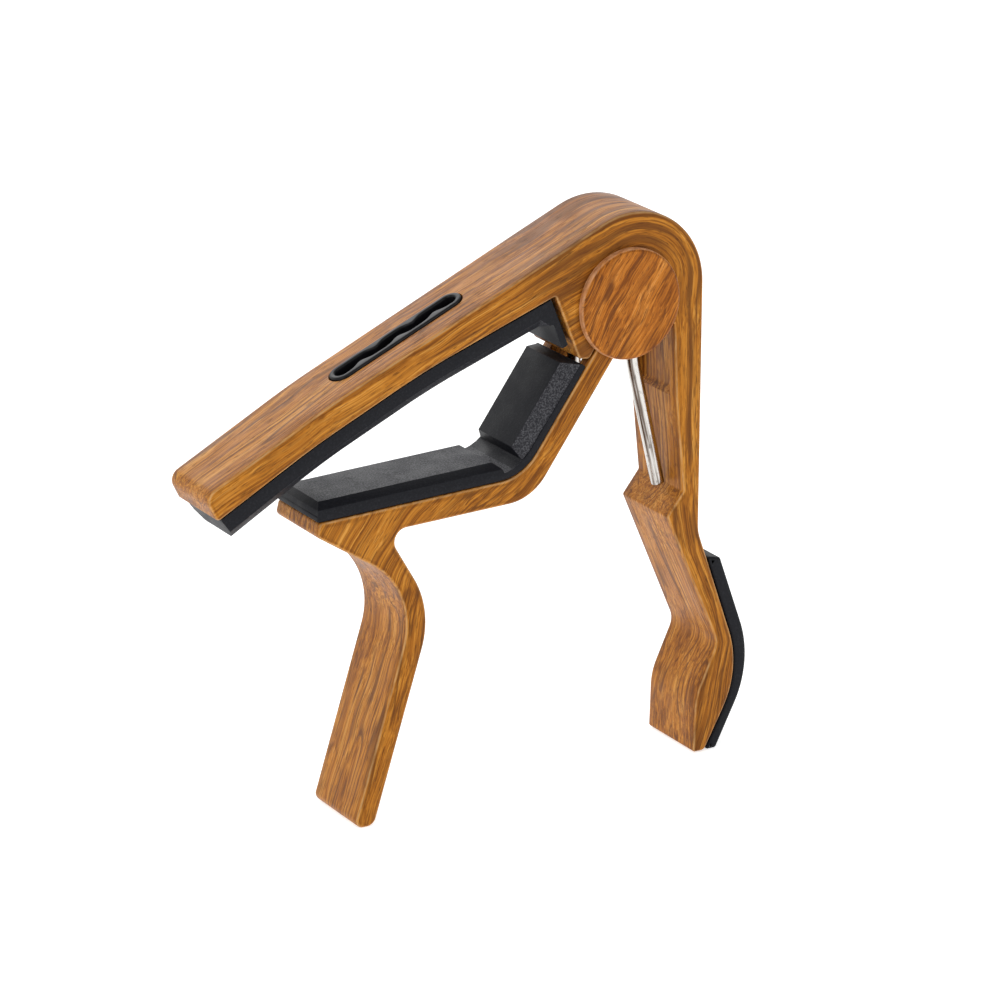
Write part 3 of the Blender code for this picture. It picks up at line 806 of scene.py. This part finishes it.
def build_jaw():
    jaw = prism("jaw_casting", JAW_OUTLINE, BODY_HALF, EDGE_ROUND)
    h = BODY_HALF - 0.04
    boolean(jaw, turned("cut", [(0, -h), (EAR_R - 0.3, -h), (EAR_R, -h + 0.3), (EAR_R, h - 0.3), (EAR_R - 0.3, h), (0, h)], 96), "UNION")
    boolean(jaw, turned("cut", [(0, -EAR_INNER), (SLOT_R, -EAR_INNER), (SLOT_R, EAR_INNER), (0, EAR_INNER)], 134))
    boolean(jaw, turned("cut", [(0, -9), (BORE_R, -9), (BORE_R, 9), (0, 9)], 64))
    jaw.data.shade_smooth()
    jaw.data.set_sharp_from_angle(angle=math.radians(35))
    grain(jaw, JAW_SPINE, 200.0)
    edge_attr(jaw, JAW_OUTLINE, BODY_HALF)
    return place(jaw, "lower_jaw", "jaw", WOOD_JAW)


# ------------------------------------------------------------------- caps
def build_caps():
    for side, node in ((-1, "front_pivot_cap"), (1, "rear_pivot_cap")):
        y_in, y_out = BODY_HALF + 0.05, BODY_HALF + CAP_PROUD
        r = 0.65
        prof = [(0, y_out), (2.0, y_out), (4.0, y_out), (6.0, y_out), (7.2, y_out)]
        for k in range(9):
            a = math.pi / 2 * k / 8
            prof.append((CAP_R - r + r * math.sin(a), y_out - r + r * math.cos(a)))
        prof += [(CAP_R, y_in + 0.1), (CAP_R - 0.1, y_in), (1.0, y_in), (1.0, y_in - 2.4), (0, y_in - 2.4)]
        cap = turned(node + "_disc", [(a, side * b) for a, b in prof], 128, 40)
        co = coords(cap)
        ang = math.radians(56)
        u = co[:, 0] * math.cos(ang) + co[:, 2] * math.sin(ang)
        v = -co[:, 0] * math.sin(ang) + co[:, 2] * math.cos(ang)
        set_attr(cap, "grain", np.stack([1.9 * u + 400 + 60 * side, v, co[:, 1]], 1))
        # rim mask: the rim gets the worn film with a painted highlight and a painted shade line inside
        rr = np.hypot(co[:, 0], co[:, 2])
        set_attr(cap, "edge", np.clip(1 - np.abs(rr - CAP_R) / 0.55, 0, 1))
        place(cap, node, "jaw", WOOD_CAP)


# ------------------------------------------------------------------- pads
def softened(node, name, width=0.2):
    """A moulded pad: the design shape with all its edges rounded."""
    bm = bmesh.new()
    bm.from_mesh(frame["nodes"][node].data)
    bmesh.ops.remove_doubles(bm, verts=bm.verts, dist=2e-6)
    bmesh.ops.dissolve_limit(bm, angle_limit=math.radians(0.6), verts=bm.verts, edges=bm.edges)
    obj = new_object(name, bm, None)
    mod = obj.modifiers.new("round", "BEVEL")
    mod.width, mod.segments, mod.limit_method = width * MM, 3, "ANGLE"
    mod.angle_limit = math.radians(16)
    mod.use_clamp_overlap = True
    mod.miter_outer = "MITER_ARC"
    bake_modifiers(obj)
    # the mould's textured areas, painted lighter grey, partly as painted sheen on the upward faces: the long block's
    # top and the side facets
    mesh = obj.data
    val = np.zeros(len(mesh.polygons))
    for f in mesh.polygons:
        x = f.center.x / MM - PX
        facet = 0.3 < abs(f.normal.y) < 0.95
        if node == "neck_pad":
            if x < -19.0 and f.normal.z > 0.93 and abs(f.center.y / MM) < 5.0:
                val[f.index] = 0.85
            elif x > -20.6 and facet:
                val[f.index] = 0.75
            # painted sheen: the short block's upward faces a little lighter
            elif x > -20.6 and f.normal.z > 0.75:
                val[f.index] = 0.2
        elif facet:
            val[f.index] = 0.6 if x > -17.5 else 0.22
    att = mesh.attributes.new("speckle_and_sheen", "FLOAT", "FACE")
    att.data.foreach_set("value", val.astype(np.float32))
    return obj


def build_pads():
    place(softened("string_pad", "string_pad_rubber", 0.22), "string_pad", "arm", PAD)
    place(softened("neck_pad", "neck_pad_rubber", 0.22), "neck_pad", "jaw", PAD)
    outline = rounded([
        (14.95, -42.7, 0.45), (21.55, -62.0, 26.2), (15.1, -74.5, 0.45),
        (17.15, -74.5, 0.6), (23.85, -61.3, 28.0), (17.5, -43.3, 0.5),
    ])
    pad = prism("handle_pad_rubber", outline, 6.2, 0.5, None, 5, 0.8, 1.2, 6)
    place(pad, "handle_pad", "arm", PAD)


# ----------------------------------------------------------------- spring
def tube_mesh(name, pts, radius, sides=28, dome=0.3):
    """Round wire along a path, with softly rounded ends."""
    pts = [Vector(p) for p in pts]
    for _ in range(2):
        fine = [pts[0]]
        for a, b in zip(pts, pts[1:]):
            fine += [a.lerp(b, 0.25), a.lerp(b, 0.75)]
        pts = fine + [pts[-1]]
    length = [0.0]
    for a, b in zip(pts, pts[1:]):
        length.append(length[-1] + (b - a).length)
    bm = bmesh.new()
    rows, marks = [], []

    def ring(p, a, b, rad, u):
        row = []
        for k in range(sides):
            t = 2 * math.pi * k / sides
            q = p + (a * math.cos(t) + b * math.sin(t)) * rad
            row.append(bm.verts.new(world(*q)))
            marks.append((u, radius * t, 0.0))
        rows.append(row)

    side = Vector((0, 1, 0))
    last = len(pts) - 1
    for i, p in enumerate(pts):
        d = (pts[min(i + 1, last)] - pts[max(i - 1, 0)]).normalized()
        side = (side - d * side.dot(d)).normalized()
        other = d.cross(side)
        if i == 0:
            for k in range(5):
                t = math.pi / 2 * k / 4
                ring(p + d * dome * (1 - math.cos(t)), side, other, radius - dome + dome * math.sin(t), 0.0)
        elif i == last:
            for k in range(5):
                t = math.pi / 2 * k / 4
                ring(p - d * dome + d * dome * math.sin(t), side, other, radius - dome + dome * math.cos(t), length[i])
        elif dome * 1.5 < length[i] < length[-1] - dome * 1.5:
            ring(p, side, other, radius, length[i])
    for x, y in zip(rows, rows[1:]):
        for k in range(sides):
            j = (k + 1) % sides
            bm.faces.new((x[k], x[j], y[j], y[k]))
    bm.faces.new(rows[0][::-1])
    bm.faces.new(rows[-1])
    bmesh.ops.recalc_face_normals(bm, faces=bm.faces)
    obj = new_object(name, bm, 40)
    set_attr(obj, "grain", np.array(marks))
    return obj


def build_spring():
    r = 4.2
    a0, a1 = math.radians(-6.0), math.radians(534.0)
    span = 2.15 * (a1 - a0) / (2 * math.pi)
    foot, knee = Vector((8.8, -31.1)), Vector((4.15, -11.4))
    pts = []
    for k in range(9):
        q = foot.lerp(knee, k / 8.0)
        pts.append((q.x, -span / 2, q.y))
    for x, z in ((3.97, -9.2), (4.08, -7.6), (4.15, -4.0), (4.18, -2.2)):
        pts.append((x, -span / 2, z))
    steps = 90
    for k in range(steps + 1):
        a = a0 + (a1 - a0) * k / steps
        pts.append((r * math.cos(a), -span / 2 + span * k / steps, r * math.sin(a)))
    under = -(BAR_RIGHT + 0.3 + 1.05 + 0.1)
    for x, z in ((-4.3, -3.5), (-4.3, -8.0), (-4.28, -11.6)):
        pts.append((x, span / 2, z))
    for q in (13.9, 14.9, 16.4, 18.0):
        x, z = along_bar(q, under)
        pts.append((x, span / 2, z))
    wire = tube_mesh("spring_wire", pts, 1.05)
    give(wire, CHROME)
    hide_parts("torsion_spring")
    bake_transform(wire)


build_arm()
build_pick_holder()
build_jaw()
build_caps()
build_pads()
build_spring()

for node, mat in (("pivot_pin", STEEL), ("spring_sleeve", NYLON),
                  ("front_friction_washer", NYLON), ("rear_friction_washer", NYLON)):
    give(frame["nodes"][node], mat)

# ------------------------------------------------------------ camera, light
AZ, EL = math.radians(-30.3), math.radians(18.9)
FOCAL_PX, DIST = 4615.0, 683.0
right = Vector((math.cos(AZ), math.sin(AZ), 0.0))
back = Vector((math.sin(AZ) * math.cos(EL), -math.cos(AZ) * math.cos(EL), math.sin(EL)))
up = back.cross(right)
aim = Vector((PX + 0.753, -BODY_HALF, PZ - 0.467))
offx, offy = (632.0 - 500.0) / FOCAL_PX, -(305.0 - 500.0) / FOCAL_PX
eye = aim + DIST * (back - offx * right - offy * up)
cam_data = bpy.data.cameras.new("camera")
cam_data.sensor_width = 36.0
cam_data.lens = FOCAL_PX / 1000.0 * 36.0
cam_data.clip_start, cam_data.clip_end = 0.01, 10.0
cam = bpy.data.objects.new("camera", cam_data)
bpy.context.scene.collection.objects.link(cam)
rot = Matrix((right, up, back)).transposed()
cam.matrix_world = Matrix.Translation(eye * MM) @ rot.to_4x4()
bpy.context.scene.camera = cam

bm = bmesh.new()
bmesh.ops.create_grid(bm, x_segments=2, y_segments=2, size=3.0)
floor = new_object("floor", bm, None)
fm = Nodes("floor_paper")
fm.bsdf.inputs["Base Color"].default_value = (0.8, 0.8, 0.8, 1)
fm.bsdf.inputs["Roughness"].default_value = 0.9
fm.bsdf.inputs["Specular IOR Level"].default_value = 0.1
fm.bsdf.inputs["Emission Color"].default_value = (1, 1, 1, 1)
fm.bsdf.inputs["Emission Strength"].default_value = 0.62
give(floor, fm.mat)

wd = bpy.data.worlds.new("studio")
bpy.context.scene.world = wd
wd.use_nodes = True
wt = wd.node_tree
bg = wt.nodes["Background"]
bg.inputs[0].default_value = (1, 1, 1, 1)
tc = wt.nodes.new("ShaderNodeTexCoord")
sep = wt.nodes.new("ShaderNodeSeparateXYZ")
mr = wt.nodes.new("ShaderNodeMapRange")
mr.interpolation_type = "SMOOTHSTEP"
for key, val in (("From Min", 0.0), ("From Max", 0.9), ("To Min", 0.22), ("To Max", 0.62)):
    mr.inputs[key].default_value = val
wt.links.new(tc.outputs["Generated"], sep.inputs[0])
wt.links.new(sep.outputs[2], mr.inputs["Value"])
# pale backdrop behind the object
mb = wt.nodes.new("ShaderNodeMapRange")
mb.interpolation_type = "SMOOTHSTEP"
for key, val in (("From Min", 0.15), ("From Max", 0.75), ("To Min", 0.0), ("To Max", 1.05)):
    mb.inputs[key].default_value = val
wt.links.new(sep.outputs[1], mb.inputs["Value"])
total = wt.nodes.new("ShaderNodeMath")
wt.links.new(mr.outputs[0], total.inputs[0])
wt.links.new(mb.outputs[0], total.inputs[1])
wt.links.new(total.outputs[0], bg.inputs[1])


def area(name, loc, target, size, power, colour=(1, 1, 1)):
    data = bpy.data.lights.new(name, "AREA")
    data.shape, data.size, data.energy, data.color = "SQUARE", size, power, colour
    obj = bpy.data.objects.new(name, data)
    bpy.context.scene.collection.objects.link(obj)
    obj.location = loc
    obj.rotation_euler = (Vector(target) - Vector(loc)).to_track_quat("-Z", "Y").to_euler()
    return obj


area("back_top", (0.08, 0.62, 0.52), (0, 0, 0.05), 0.45, 1.0)
area("key_left", (-0.55, -0.28, 0.45), (0, 0, 0.04), 0.30, 1.35)
area("front_fill", (0.30, -0.75, 0.35), (0, 0, 0.04), 0.45, 1.6)

bpy.context.scene.view_settings.view_transform = "Standard"
